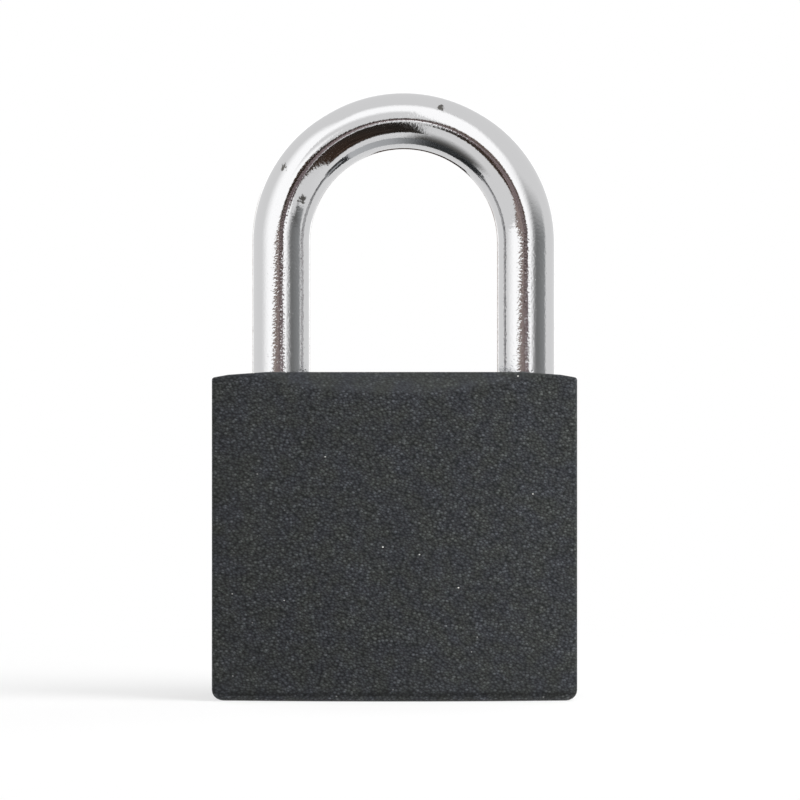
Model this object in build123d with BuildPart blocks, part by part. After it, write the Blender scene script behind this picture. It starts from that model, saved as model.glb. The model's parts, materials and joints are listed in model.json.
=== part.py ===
"""Keyed padlock: a 30 mm painted iron body and a chrome-plated steel shackle, with its lock work.

Millimetres. The origin is the middle of the base, +Z is up, +X is to the right seen from the front
and the front faces -Y. The short leg of the shackle (the toe) is on the left, the long leg (the heel)
on the right. At rest the shackle is closed, the core stands at its unlocked stop and the latch is
drawn back. Turning the core a quarter turn clockwise, seen from above, throws the latch into the toe.
"""

from build123d import *
import math
import os

# Body
BODY_WIDTH = 30.0
BODY_HEIGHT = 27.0
BODY_THICKNESS = 13.5  # at the middle, where the barrelled faces stand furthest out
BARREL_RADIUS = 90.0  # of the front and back faces, seen from above
BEVEL_HALF_WIDTH = 12.7  # half the length of the bevel along the top edge
BEVEL_HEIGHT = 1.65  # of the bevel at its middle
TOP_FLAT_HALF_WIDTH = 10.5  # the top is level this far out, then falls away to its ends
TOP_END_RADIUS = 22.0
BASE_ROUND = 0.9
SIDE_ROUND = 0.3
TOP_CORNER_ROUND = 0.4

# Shackle
ROD_DIAMETER = 4.8
LEG_SPACING = 20.4
SHACKLE_SHIFT = 0.75  # the shackle stands this far right of the body's middle
STRAIGHT_ABOVE_BODY = 10.8
TOE_DEPTH = 10.6
HEEL_DEPTH = 18.5
SHACKLE_TRAVEL = 11.2
LEG_CLEARANCE = 0.12
TOE_FLOOR_GAP = 0.5
LEG_END_CHAMFER = 0.6
HEEL_FLAT_DEPTH = 0.9

# Latch
LATCH_HEIGHT = 20.0  # of the cross bore's axis above the base
LATCH_BORE_RADIUS = 2.5
LATCH_RADIUS = 2.45
LATCH_TRAVEL = 2.0
LATCH_NOSE_LENGTH = 2.0
LATCH_NOSE_BELOW_AXIS = 1.25
LATCH_NOSE_ABOVE_AXIS = 1.6
LATCH_ENGAGEMENT = 1.7  # of the nose in the toe when locked
LATCH_TAIL_X = 3.4
LATCH_BORE_END_X = 6.9
LATCH_FLOOR_BELOW_AXIS = 2.1
NOTCH_CLEARANCE = 0.2

# Core, its eccentric drive pin and its retaining pin
CORE_RADIUS = 4.0
RUNNING_CLEARANCE = 0.03
CORE_HEAD_RADIUS = 4.7
CORE_HEAD_TOP = 1.4
CORE_RECESS = 0.2  # of the core's face behind the base
CORE_TOP = 17.4
CORE_BORE_TOP = 19.4
CORE_EDGE = 0.3
KEYWAY_TOP = 14.4
DRIVE_PIN_RADIUS = 0.7
DRIVE_PIN_BOTTOM = 15.0
DRIVE_PIN_TOP = 20.0
DRIVE_SLOT_CLEARANCE = 0.1
CORE_PIN_RADIUS = 0.6
CORE_PIN_HEIGHT = 15.25
CORE_PIN_BITE = 0.65
HEEL_PIN_RADIUS = 0.8

# Pin tumblers
PIN_HEIGHTS = [4.5, 7.5, 10.5, 13.5]
PIN_RADIUS = 1.1
CHAMBER_RADIUS = 1.15
KEY_PIN_LENGTHS = [4.4, 3.6, 4.8, 4.0]
KEY_PIN_TIP_RADIUS = 0.25
PIN_HOLE_PAST_AXIS = 1.4  # the core's pin holes end this far beyond its axis
DRIVER_LENGTH = 3.15
DRIVER_CHAMFER = 0.25
CHAMBER_PLUG_LENGTH = 2.35
FLUSH_GAP = 0.05  # pressed pieces stop this far inside the surface
END_GAP = 0.05  # between a spring and what it bears on

# Where things stand
half_width = BODY_WIDTH / 2
half_thickness = BODY_THICKNESS / 2
toe_x = SHACKLE_SHIFT - LEG_SPACING / 2
heel_x = SHACKLE_SHIFT + LEG_SPACING / 2
rod_radius = ROD_DIAMETER / 2
leg_hole_radius = rod_radius + LEG_CLEARANCE
toe_tip = BODY_HEIGHT - TOE_DEPTH
heel_tip = BODY_HEIGHT - HEEL_DEPTH
bow_height = BODY_HEIGHT + STRAIGHT_ABOVE_BODY
heel_hole_floor = 2.2
drive_offset = LATCH_TRAVEL / 2  # along X and along Y, so a quarter turn moves it by the latch's travel
core_pin_x = CORE_RADIUS - CORE_PIN_BITE + CORE_PIN_RADIUS
heel_pin_x = heel_x - (rod_radius - HEEL_FLAT_DEPTH) - HEEL_PIN_RADIUS - FLUSH_GAP
heel_groove_height = heel_tip + 1.7
heel_pin_height = heel_groove_height + SHACKLE_TRAVEL
latch_tip_x = toe_x + rod_radius - LATCH_ENGAGEMENT + LATCH_TRAVEL
latch_shoulder_x = latch_tip_x + LATCH_NOSE_LENGTH
driver_end_x = -CORE_RADIUS - END_GAP
chamber_plug_x = -half_width + FLUSH_GAP
latch_plug_end_x = toe_x - leg_hole_radius - 0.3


def barrel_depth(x):
    """How far the front and back faces stand from the middle plane at x."""
    return math.sqrt(BARREL_RADIUS**2 - x**2) - (BARREL_RADIUS - half_thickness)


def save(part, name):
    """Labels a finished piece and writes its file."""
    part.label = name
    export_step(part, f"parts/{name}.step")


def coil(start, direction, length, outer_diameter, wire, turns):
    """A compression spring of round wire that fills the given length."""
    radius = (outer_diameter - wire) / 2
    rise = length - wire
    first = Vector(start) + Vector(direction) * (wire / 2)
    with BuildPart() as spring:
        with BuildLine() as centre_line:
            Helix(pitch=rise / turns, height=rise, radius=radius, center=first, direction=direction)
        path = centre_line.line
        with BuildSketch(Plane(origin=path @ 0, z_dir=path % 0)):
            Circle(wire / 2)
        sweep(path=path, is_frenet=True)
    return spring.part


os.makedirs("parts", exist_ok=True)

# The body: its plan, front view and side view intersected, the base edge rounded, then bored
end_depth = barrel_depth(half_width)
bevel_depth = barrel_depth(BEVEL_HALF_WIDTH)
end_run = half_width - TOP_FLAT_HALF_WIDTH
end_height = BODY_HEIGHT - TOP_END_RADIUS + math.sqrt(TOP_END_RADIUS**2 - end_run**2)
with BuildPart() as body:
    with BuildSketch(Plane.XY) as plan:
        with BuildLine():
            front = ThreePointArc(
                (-half_width, -end_depth), (0, -half_thickness), (half_width, -end_depth)
            )
            back = ThreePointArc((half_width, end_depth), (0, half_thickness), (-half_width, end_depth))
            Line(front @ 1, back @ 0)
            Line(back @ 1, front @ 0)
        make_face()
        fillet(plan.vertices(), SIDE_ROUND)
    extrude(amount=BODY_HEIGHT)
    with BuildSketch(Plane.XZ) as front_view:
        with BuildLine():
            level = Line((-TOP_FLAT_HALF_WIDTH, BODY_HEIGHT), (TOP_FLAT_HALF_WIDTH, BODY_HEIGHT))
            right_end = TangentArc(level @ 1, (half_width, end_height), tangent=(1, 0))
            left_end = TangentArc(level @ 0, (-half_width, end_height), tangent=(-1, 0))
            Polyline(right_end @ 1, (half_width, 0), (-half_width, 0), left_end @ 1)
        make_face()
        fillet(front_view.vertices().group_by(Axis.Y)[1], TOP_CORNER_ROUND)
    extrude(amount=BODY_THICKNESS, both=True, mode=Mode.INTERSECT)
    with BuildSketch(Plane.YZ):
        with BuildLine():
            Polyline(
                (-half_thickness, 0),
                (half_thickness, 0),
                (half_thickness, BODY_HEIGHT - BEVEL_HEIGHT),
                (bevel_depth, BODY_HEIGHT),
                (-bevel_depth, BODY_HEIGHT),
                (-half_thickness, BODY_HEIGHT - BEVEL_HEIGHT),
                close=True,
            )
        make_face()
    extrude(amount=BODY_WIDTH, both=True, mode=Mode.INTERSECT)
    fillet(body.edges().group_by(Axis.Z)[0], BASE_ROUND)
    with Locations((toe_x, 0, BODY_HEIGHT)):
        Hole(leg_hole_radius, depth=TOE_DEPTH + TOE_FLOOR_GAP)
    with Locations((heel_x, 0, BODY_HEIGHT)):
        Hole(leg_hole_radius, depth=BODY_HEIGHT - heel_hole_floor)
    with Locations(Plane(origin=(0, 0, 0), z_dir=(0, 0, -1))):
        CounterBoreHole(
            radius=CORE_RADIUS + RUNNING_CLEARANCE,
            counter_bore_radius=CORE_HEAD_RADIUS + RUNNING_CLEARANCE,
            counter_bore_depth=CORE_HEAD_TOP + RUNNING_CLEARANCE,
            depth=CORE_BORE_TOP,
        )
    with Locations(Plane(origin=(-half_width, 0, LATCH_HEIGHT), z_dir=(-1, 0, 0))):
        Hole(LATCH_BORE_RADIUS, depth=half_width + LATCH_BORE_END_X)
    with Locations(*[Plane(origin=(-half_width, 0, z), z_dir=(-1, 0, 0)) for z in PIN_HEIGHTS]):
        Hole(CHAMBER_RADIUS, depth=half_width - CORE_RADIUS / 2)
    with Locations(Plane(origin=(core_pin_x, half_thickness, CORE_PIN_HEIGHT), z_dir=(0, 1, 0))):
        Hole(CORE_PIN_RADIUS, depth=half_thickness + CORE_RADIUS * 0.7)
    with Locations(Plane(origin=(heel_pin_x, half_thickness, heel_pin_height), z_dir=(0, 1, 0))):
        Hole(HEEL_PIN_RADIUS, depth=half_thickness + rod_radius * 1.3)
save(body.part, "body")

# The shackle: a bent rod, notched for the latch and turned down at the heel for its pin
with BuildPart() as shackle:
    with BuildLine() as centre_line:
        toe_leg = Line((toe_x, 0, toe_tip), (toe_x, 0, bow_height))
        bow = ThreePointArc(
            toe_leg @ 1, (SHACKLE_SHIFT, 0, bow_height + LEG_SPACING / 2), (heel_x, 0, bow_height)
        )
        Line(bow @ 1, (heel_x, 0, heel_tip))
    with BuildSketch(Plane.XY.offset(toe_tip)):
        with Locations((toe_x, 0)):
            Circle(rod_radius)
    sweep(path=centre_line.wires()[0])
    leg_ends = shackle.faces().filter_by(GeomType.PLANE)
    chamfer(leg_ends.edges(), LEG_END_CHAMFER)
    # The notch is open towards the latch, with room above and below its nose
    notch_floor_x = toe_x + rod_radius - LATCH_ENGAGEMENT - NOTCH_CLEARANCE
    with BuildSketch(Plane.XZ):
        with BuildLine():
            low = LATCH_HEIGHT - LATCH_NOSE_BELOW_AXIS - NOTCH_CLEARANCE
            high = LATCH_HEIGHT + LATCH_NOSE_ABOVE_AXIS + NOTCH_CLEARANCE
            Polyline(
                (notch_floor_x, low), (toe_x + ROD_DIAMETER, low),
                (toe_x + ROD_DIAMETER, high), (notch_floor_x, high), close=True,
            )
        make_face()
    extrude(amount=ROD_DIAMETER, both=True, mode=Mode.SUBTRACT)
    # A flat lets the heel slide past its pin, and the groove at its end lets the shackle swing
    neck_radius = rod_radius - HEEL_FLAT_DEPTH
    with BuildSketch(Plane.XZ):
        with BuildLine():
            flat_top = heel_pin_height + HEEL_PIN_RADIUS + NOTCH_CLEARANCE
            Polyline(
                (heel_x - neck_radius, heel_groove_height), (heel_x - ROD_DIAMETER, heel_groove_height),
                (heel_x - ROD_DIAMETER, flat_top), (heel_x - neck_radius, flat_top), close=True,
            )
        make_face()
    extrude(amount=ROD_DIAMETER, both=True, mode=Mode.SUBTRACT)
    groove_half = HEEL_PIN_RADIUS + NOTCH_CLEARANCE / 2
    with BuildSketch(Plane.XY.offset(heel_groove_height - groove_half)):
        with Locations((heel_x, 0)):
            Circle(rod_radius * 1.5)
            Circle(neck_radius, mode=Mode.SUBTRACT)
    extrude(amount=2 * groove_half, mode=Mode.SUBTRACT)
save(shackle.part, "shackle")

with BuildPart() as heel_retaining_pin:
    with BuildSketch(Plane.XZ.offset(rod_radius * 1.25)):
        with Locations((heel_pin_x, heel_pin_height)):
            Circle(HEEL_PIN_RADIUS)
    extrude(amount=-rod_radius * 1.25 - barrel_depth(heel_pin_x) + FLUSH_GAP)
save(heel_retaining_pin.part, "heel_retaining_pin")

save(
    coil(
        start=(heel_x, 0, heel_hole_floor + END_GAP), direction=(0, 0, 1),
        length=heel_tip - heel_hole_floor - 2 * END_GAP, outer_diameter=4.3, wire=0.5, turns=7,
    ),
    "shackle_spring",
)

# The latch: a round bolt with a wedge nose, a flat underside and a cross slot for the drive pin
with BuildPart() as latch:
    with BuildSketch(Plane(origin=(latch_tip_x, 0, LATCH_HEIGHT), z_dir=(1, 0, 0))):
        Circle(LATCH_RADIUS)
    extrude(amount=LATCH_TAIL_X - latch_tip_x)
    nose_low = LATCH_HEIGHT - LATCH_NOSE_BELOW_AXIS
    nose_high = LATCH_HEIGHT + LATCH_NOSE_ABOVE_AXIS
    latch_floor = LATCH_HEIGHT - LATCH_FLOOR_BELOW_AXIS
    slot_half = DRIVE_PIN_RADIUS + DRIVE_SLOT_CLEARANCE
    slot_top = DRIVE_PIN_TOP + 4 * DRIVE_SLOT_CLEARANCE
    with BuildSketch(Plane.XZ):
        with BuildLine():
            Polyline(
                (latch_tip_x, nose_low), (latch_shoulder_x, nose_low),
                (latch_shoulder_x, latch_floor), (drive_offset - slot_half, latch_floor),
                (drive_offset - slot_half, slot_top), (drive_offset + slot_half, slot_top),
                (drive_offset + slot_half, latch_floor), (LATCH_TAIL_X, latch_floor),
                (LATCH_TAIL_X, LATCH_HEIGHT + LATCH_RADIUS),
                (latch_shoulder_x, LATCH_HEIGHT + LATCH_RADIUS), (latch_shoulder_x, nose_high),
                (latch_tip_x, LATCH_HEIGHT), close=True,
            )
        make_face()
    extrude(amount=BODY_THICKNESS, both=True, mode=Mode.INTERSECT)
save(latch.part, "latch")

save(
    coil(
        start=(LATCH_TAIL_X + END_GAP, 0, LATCH_HEIGHT), direction=(1, 0, 0),
        length=LATCH_BORE_END_X - LATCH_TAIL_X - 2 * END_GAP, outer_diameter=3.6, wire=0.4, turns=4.5,
    ),
    "latch_spring",
)

with BuildPart() as latch_bore_plug:
    with BuildSketch(Plane(origin=(chamber_plug_x, 0, LATCH_HEIGHT), z_dir=(1, 0, 0))):
        Circle(LATCH_BORE_RADIUS)
    extrude(amount=latch_plug_end_x - chamber_plug_x)
    outer_rim = latch_bore_plug.faces().sort_by(Axis.X)[0].edges()
    chamfer(outer_rim, FLUSH_GAP * 3)
save(latch_bore_plug.part, "latch_bore_plug")

# The core: turned from bar, then broached for the key and drilled for the pins
with BuildPart() as cylinder_plug:
    with BuildSketch(Plane.XZ):
        with BuildLine():
            groove_radius = CORE_RADIUS - CORE_PIN_BITE - END_GAP
            groove_low = CORE_PIN_HEIGHT - CORE_PIN_RADIUS - END_GAP
            groove_high = CORE_PIN_HEIGHT + CORE_PIN_RADIUS + END_GAP
            Polyline(
                (0, CORE_RECESS), (CORE_HEAD_RADIUS - CORE_EDGE, CORE_RECESS),
                (CORE_HEAD_RADIUS, CORE_RECESS + CORE_EDGE), (CORE_HEAD_RADIUS, CORE_HEAD_TOP),
                (CORE_RADIUS, CORE_HEAD_TOP), (CORE_RADIUS, groove_low), (groove_radius, groove_low),
                (groove_radius, groove_high), (CORE_RADIUS, groove_high),
                (CORE_RADIUS, CORE_TOP - CORE_EDGE), (CORE_RADIUS - CORE_EDGE, CORE_TOP), (0, CORE_TOP),
                close=True,
            )
        make_face()
    revolve(axis=Axis.Z)
    # The keyway's wards stand in from both sides, so that only one key section enters
    with BuildSketch(Plane.XY):
        with BuildLine():
            Polyline(
                (-0.75, -2.9), (0.75, -2.9), (0.75, 1.3), (0.15, 1.5), (0.15, 2.2), (0.75, 2.4),
                (0.75, 3.1), (-0.75, 3.1), (-0.75, 0.9), (-0.15, 0.7), (-0.15, -0.1), (-0.75, -0.3),
                close=True,
            )
        make_face()
    extrude(amount=KEYWAY_TOP, mode=Mode.SUBTRACT)
    with Locations(*[Plane(origin=(0, -CORE_RADIUS, z), z_dir=(0, -1, 0)) for z in PIN_HEIGHTS]):
        Hole(CHAMBER_RADIUS, depth=CORE_RADIUS + PIN_HOLE_PAST_AXIS)
    with Locations((drive_offset, -drive_offset, CORE_TOP)):
        Hole(DRIVE_PIN_RADIUS, depth=CORE_TOP - DRIVE_PIN_BOTTOM)
save(cylinder_plug.part, "cylinder_plug")

with BuildPart() as drive_pin:
    with BuildSketch(Plane.XY.offset(DRIVE_PIN_BOTTOM)):
        with Locations((drive_offset, -drive_offset)):
            Circle(DRIVE_PIN_RADIUS)
    extrude(amount=DRIVE_PIN_TOP - DRIVE_PIN_BOTTOM)
    chamfer(drive_pin.edges().group_by(Axis.Z)[-1], DRIVE_SLOT_CLEARANCE)
save(drive_pin.part, "drive_pin")

with BuildPart() as plug_retaining_pin:
    with BuildSketch(Plane.XZ.offset(CORE_RADIUS * 0.65)):
        with Locations((core_pin_x, CORE_PIN_HEIGHT)):
            Circle(CORE_PIN_RADIUS)
    extrude(amount=-CORE_RADIUS * 0.65 - barrel_depth(core_pin_x) + FLUSH_GAP)
save(plug_retaining_pin.part, "plug_retaining_pin")

# Pin tumblers: pointed key pins in the core, drivers and their springs in the body's chambers
pin_top_radius = CORE_RADIUS - RUNNING_CLEARANCE
for number, (z, length) in enumerate(zip(PIN_HEIGHTS, KEY_PIN_LENGTHS), start=1):
    dome_side = math.sqrt(pin_top_radius**2 - PIN_RADIUS**2)
    dome_mid = pin_top_radius * math.sqrt(0.5)
    tip_y = length - pin_top_radius
    with BuildPart() as key_pin:
        with BuildSketch(Plane.XY.offset(z)):
            with BuildLine():
                side = Polyline(
                    (0, -pin_top_radius), (0, tip_y), (KEY_PIN_TIP_RADIUS, tip_y),
                    (PIN_RADIUS, tip_y - PIN_RADIUS + KEY_PIN_TIP_RADIUS), (PIN_RADIUS, -dome_side),
                )
                RadiusArc(side @ 1, side @ 0, pin_top_radius)
            make_face()
        revolve(axis=Axis((0, 0, z), (0, 1, 0)))
    save(key_pin.part, f"key_pin_{number}")

    driver_back_x = driver_end_x - DRIVER_LENGTH
    with BuildPart() as driver_pin:
        with BuildSketch(Plane.XY.offset(z)):
            with BuildLine():
                Polyline(
                    (driver_end_x, 0), (driver_end_x, PIN_RADIUS - DRIVER_CHAMFER),
                    (driver_end_x - DRIVER_CHAMFER, PIN_RADIUS), (driver_back_x + DRIVER_CHAMFER, PIN_RADIUS),
                    (driver_back_x, PIN_RADIUS - DRIVER_CHAMFER), (driver_back_x, 0), close=True,
                )
            make_face()
        revolve(axis=Axis((0, 0, z), (1, 0, 0)))
    save(driver_pin.part, f"driver_pin_{number}")

    spring_start = chamber_plug_x + CHAMBER_PLUG_LENGTH + END_GAP
    save(
        coil(
            start=(spring_start, 0, z), direction=(1, 0, 0),
            length=driver_back_x - END_GAP - spring_start, outer_diameter=2.0, wire=0.28, turns=8,
        ),
        f"pin_spring_{number}",
    )

with BuildPart() as chamber_plugs:
    with BuildSketch(Plane(origin=(chamber_plug_x, 0, 0), x_dir=(0, 1, 0), z_dir=(1, 0, 0))):
        with Locations(*[(0, z) for z in PIN_HEIGHTS]):
            Circle(CHAMBER_RADIUS)
    extrude(amount=CHAMBER_PLUG_LENGTH)
    outer_rims = chamber_plugs.faces().group_by(Axis.X)[0].edges()
    chamfer(outer_rims, FLUSH_GAP * 3)
save(chamber_plugs.part, "chamber_plugs")
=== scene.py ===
"""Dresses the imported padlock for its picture: the painted body, the plated shackle, the springs and
the lock work, on a pale studio floor.

The file is laid out as an add-on and run as a script. New pieces are modelled in millimetres, where
the operators' own tolerances suit them, and brought to metres when they are finished.
"""

import json
import math

import bmesh
import bpy
from bpy.props import FloatProperty, FloatVectorProperty, PointerProperty
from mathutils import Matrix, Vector


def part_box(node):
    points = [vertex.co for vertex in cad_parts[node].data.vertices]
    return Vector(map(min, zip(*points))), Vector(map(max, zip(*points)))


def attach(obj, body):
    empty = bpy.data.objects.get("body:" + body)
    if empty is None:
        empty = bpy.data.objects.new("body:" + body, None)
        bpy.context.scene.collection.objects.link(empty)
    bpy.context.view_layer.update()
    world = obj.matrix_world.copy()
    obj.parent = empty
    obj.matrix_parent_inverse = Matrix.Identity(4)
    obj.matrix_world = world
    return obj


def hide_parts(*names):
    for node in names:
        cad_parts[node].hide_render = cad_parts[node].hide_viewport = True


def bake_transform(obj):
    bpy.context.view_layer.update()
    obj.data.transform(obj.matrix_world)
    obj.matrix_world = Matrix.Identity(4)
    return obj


bl_info = {
    "name": "Padlock dresser",
    "version": (1, 0, 0),
    "blender": (4, 5, 0),
    "location": "View3D > Sidebar > Padlock",
    "description": "Models the outside of a keyed padlock around its packed solids "
    "and sets up its picture",
    "category": "Object",
}

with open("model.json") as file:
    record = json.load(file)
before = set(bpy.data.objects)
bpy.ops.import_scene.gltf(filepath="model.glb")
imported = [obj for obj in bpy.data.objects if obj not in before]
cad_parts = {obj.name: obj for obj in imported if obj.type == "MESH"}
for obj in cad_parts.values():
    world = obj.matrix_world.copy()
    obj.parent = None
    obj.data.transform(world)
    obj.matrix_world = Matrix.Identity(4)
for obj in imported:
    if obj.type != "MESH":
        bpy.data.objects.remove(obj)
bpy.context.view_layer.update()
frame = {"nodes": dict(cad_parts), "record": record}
body_low, body_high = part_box("body")
shackle_low, shackle_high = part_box("shackle")

MM = 0.001
TO_MM = 1000.0

# Tolerances while a piece is modelled, in millimetres
WELD = 0.001
NEAR = 0.01


def linear(code):
    """The linear red, green and blue of an sRGB hex colour."""
    parts = [int(code[i : i + 2], 16) / 255 for i in (1, 3, 5)]
    return tuple(c / 12.92 if c <= 0.04045 else ((c + 0.055) / 1.055) ** 2.4 for c in parts)


def length(name, description, default):
    """A setting in metres."""
    return FloatProperty(
        name=name, description=description, default=default, min=0.0,
        unit="LENGTH", subtype="DISTANCE",
    )


def colour(name, description, code):
    """A colour setting, whose default is given as sRGB hex."""
    return FloatVectorProperty(
        name=name, description=description, default=linear(code), size=3, min=0.0, max=1.0,
        subtype="COLOR",
    )


class PadlockBodySettings(bpy.types.PropertyGroup):
    """Sizes and colours of the painted body."""

    width: length("Width", "Across the front face", body_high.x - body_low.x)
    height: length("Height", "From the base to the level top", body_high.z - body_low.z)
    thickness: length("Thickness", "Front to back at the middle", body_high.y - body_low.y)
    barrel_radius: length("Barrel radius", "Of the front and back faces, seen from above", 90 * MM)
    crescent_half_width: length("Crescent half width", "Half the length of the bevel", 12.7 * MM)
    crescent_height: length("Crescent height", "Of the bevel at its middle", 1.65 * MM)
    top_flat: length("Top flat", "How far out from the middle the top is level", 10.5 * MM)
    end_radius: length("End radius", "Of the top where it falls away to its ends", 22 * MM)
    base_round: length("Base round", "Rounding of the bottom edge", 0.9 * MM)
    corner_round: length("Corner round", "Rounding of the upright edges", 0.3 * MM)
    edge_soften: length("Edge softening", "Rounding of the upper edges", 0.2 * MM)
    crescent_soften: length("Crescent softening", "Rounding of the bevel's lower edge", 0.3 * MM)
    grain: length("Grain", "Width of the sand texture's grains", 0.2 * MM)
    coat: colour("Coat", "Powder coat", "#3A3C40")
    warm_coat: colour("Warm coat", "Powder coat where it leans to brown", "#3B3D3C")
    # Painted glints: rare grains in the coat, painted near white where bare grains sparkle
    bare_grain_glint: colour("Fleck", "Bare sparkling grains in the coat", "#F4F2EE")


class PadlockShackleSettings(bpy.types.PropertyGroup):
    """Sizes and finish of the plated shackle."""

    rod: length("Rod", "Diameter of the rod", shackle_high.y - shackle_low.y)
    bow_height: length("Bow height", "Of the bow's centre above the base", 37.8 * MM)
    toe_tip: length("Toe tip", "Height of the short leg's end", 16.4 * MM)
    heel_tip: length("Heel tip", "Height of the long leg's end", shackle_low.z)
    end_round: length("End round", "Rounding of the legs' ends", 0.6 * MM)
    notch_low: length("Notch low", "Lower side of the latch's notch", 18.55 * MM)
    notch_high: length("Notch high", "Upper side of the latch's notch", 21.8 * MM)
    notch_depth: length("Notch depth", "How far the notch cuts into the toe", 1.9 * MM)
    flat_depth: length("Flat depth", "How far the heel is cut away for its pin", 0.9 * MM)
    flat_top: length("Flat top", "Height where the heel's flat ends", 22.4 * MM)
    groove_low: length("Groove low", "Lower side of the heel's groove", 9.3 * MM)
    groove_high: length("Groove high", "Upper side of the heel's groove", 11.1 * MM)
    plate: colour("Plate", "Chrome plate", "#CBCBCC")
    nick: colour("Nick", "Bare steel in the plate's nicks", "#62605D")


class PadlockLockworkSettings(bpy.types.PropertyGroup):
    """Colours of the metals inside."""

    brass: colour("Brass", "Turned brass", "#D9BD83")
    steel: colour("Steel", "Ground steel", "#BDBDBE")
    wire: colour("Wire", "Drawn spring wire", "#A9A9AC")


class PadlockStageSettings(bpy.types.PropertyGroup):
    """The floor, the light and the camera."""

    floor: colour("Floor", "Studio floor", "#F2F2F2")
    camera_distance: length("Camera distance", "In front of the lock's middle plane", 350 * MM)
    camera_height: length("Camera height", "Above the floor", 24.7 * MM)
    camera_side: length("Camera side", "To the right of the lock's middle", 0.45 * MM)
    lens: FloatProperty(
        name="Lens", description="Focal length", default=189.0, min=1.0, unit="CAMERA"
    )
    fill: FloatProperty(
        name="Fill", description="Light that reaches the lock from all round", default=0.05, min=0.0
    )


# Modelling helpers


def clear_selection():
    """Leaves edit mode and selects nothing."""
    if bpy.context.mode != "OBJECT":
        bpy.ops.object.mode_set(mode="OBJECT")
    bpy.ops.object.select_all(action="DESELECT")


def select_alone(piece):
    """Makes a piece the one that the object operators work on."""
    clear_selection()
    bpy.context.view_layer.objects.active = piece
    piece.select_set(True)


def begin_piece(name):
    """Names the primitive that was just added, settles its place into its mesh and opens it."""
    piece = bpy.context.active_object
    piece.name = name
    piece.data.name = name
    bpy.ops.object.transform_apply()
    bpy.ops.object.mode_set(mode="EDIT")
    return piece


def pick(kind, test):
    """In edit mode, selects the vertices, edges or faces that pass the test."""
    bpy.ops.mesh.select_mode(type=kind)
    bpy.ops.mesh.select_all(action="DESELECT")
    mesh = bmesh.from_edit_mesh(bpy.context.edit_object.data)
    mesh.normal_update()
    items = {"VERT": mesh.verts, "EDGE": mesh.edges, "FACE": mesh.faces}[kind]
    found = [item for item in items if test(item)]
    if not found:
        raise RuntimeError(f"nothing to select on {bpy.context.edit_object.name}")
    for item in found:
        item.select_set(True)
    mesh.select_flush_mode()
    bmesh.update_edit_mesh(bpy.context.edit_object.data)


def middle(edge):
    """The point halfway along an edge."""
    return (edge.verts[0].co + edge.verts[1].co) / 2


def turn_angle(edge):
    """How sharply the surface turns at an edge, in degrees; 0 at an open edge."""
    return math.degrees(edge.calc_face_angle(0.0))


def round_edges(test, radius, segments):
    """In edit mode, rounds the edges that pass the test."""
    pick("EDGE", test)
    bpy.ops.mesh.bevel(
        offset=radius, segments=segments, profile=0.5, affect="EDGES", clamp_overlap=False
    )


def cut(piece, cutter):
    """Takes the cutter's shape out of the piece."""
    select_alone(piece)
    bpy.ops.object.modifier_add(type="BOOLEAN")
    boolean = piece.modifiers[-1]
    boolean.operation = "DIFFERENCE"
    boolean.solver = "EXACT"
    boolean.object = cutter
    bpy.ops.object.modifier_apply(modifier=boolean.name)
    bpy.data.objects.remove(cutter)


def bore(piece, start, direction, radius, depth, sides=64):
    """Drills a round hole from a point in a direction, starting a little before it."""
    lead = 1.0
    clear_selection()
    way = Vector(direction).normalized()
    bpy.ops.mesh.primitive_cylinder_add(
        vertices=sides, radius=radius, depth=depth + lead,
        location=Vector(start) + way * (depth - lead) / 2,
        rotation=way.to_track_quat("Z", "Y").to_euler(),
    )
    cut(piece, bpy.context.active_object)


def mill(piece, low, high):
    """Cuts a block between two corners out of the piece."""
    clear_selection()
    low, high = Vector(low), Vector(high)
    bpy.ops.mesh.primitive_cube_add(size=1.0, location=(low + high) / 2, scale=high - low)
    cut(piece, bpy.context.active_object)


def open_again(piece):
    """Takes a piece back into edit mode with all of it selected."""
    select_alone(piece)
    bpy.ops.object.mode_set(mode="EDIT")
    bpy.ops.mesh.select_all(action="SELECT")


def finish_piece(piece, smooth_angle, material):
    """Cleans the mesh, brings it from millimetres to metres, smooths it up to an angle in degrees
    and gives it its material."""
    open_again(piece)
    bpy.ops.mesh.remove_doubles(threshold=WELD / 2)
    bpy.ops.mesh.normals_make_consistent(inside=False)
    bpy.ops.object.mode_set(mode="OBJECT")
    piece.scale = (MM, MM, MM)
    bpy.ops.object.transform_apply()
    bpy.ops.object.shade_smooth_by_angle(angle=math.radians(smooth_angle), keep_sharp_edges=False)
    bpy.ops.object.modifier_add(type="WEIGHTED_NORMAL")
    weighted = piece.modifiers[-1]
    weighted.keep_sharp = True
    bpy.ops.object.modifier_apply(modifier=weighted.name)
    clear_selection()
    piece.data.materials.clear()
    piece.data.materials.append(material)


# Materials. The colours of a Mix node are its inputs 6 and 7 and its output 2


def add_node(tree, kind, inputs=None, **settings):
    """Adds a node with its settings. An input that is another node's output is linked, and a node
    given as an input stands for its first output."""
    node = tree.nodes.new(kind)
    for key, value in settings.items():
        setattr(node, key, value)
    for key, value in (inputs or {}).items():
        if isinstance(value, bpy.types.Node):
            value = value.outputs[0]
        if isinstance(value, bpy.types.NodeSocket):
            tree.links.new(value, node.inputs[key])
        else:
            node.inputs[key].default_value = value
    return node


def new_material(name):
    """A material with an empty node tree."""
    material = bpy.data.materials.new(name)
    material.use_nodes = True
    material.node_tree.nodes.clear()
    return material, material.node_tree


def opaque(rgb):
    """A colour as the nodes' sockets take it."""
    return (*rgb, 1.0)


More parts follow.
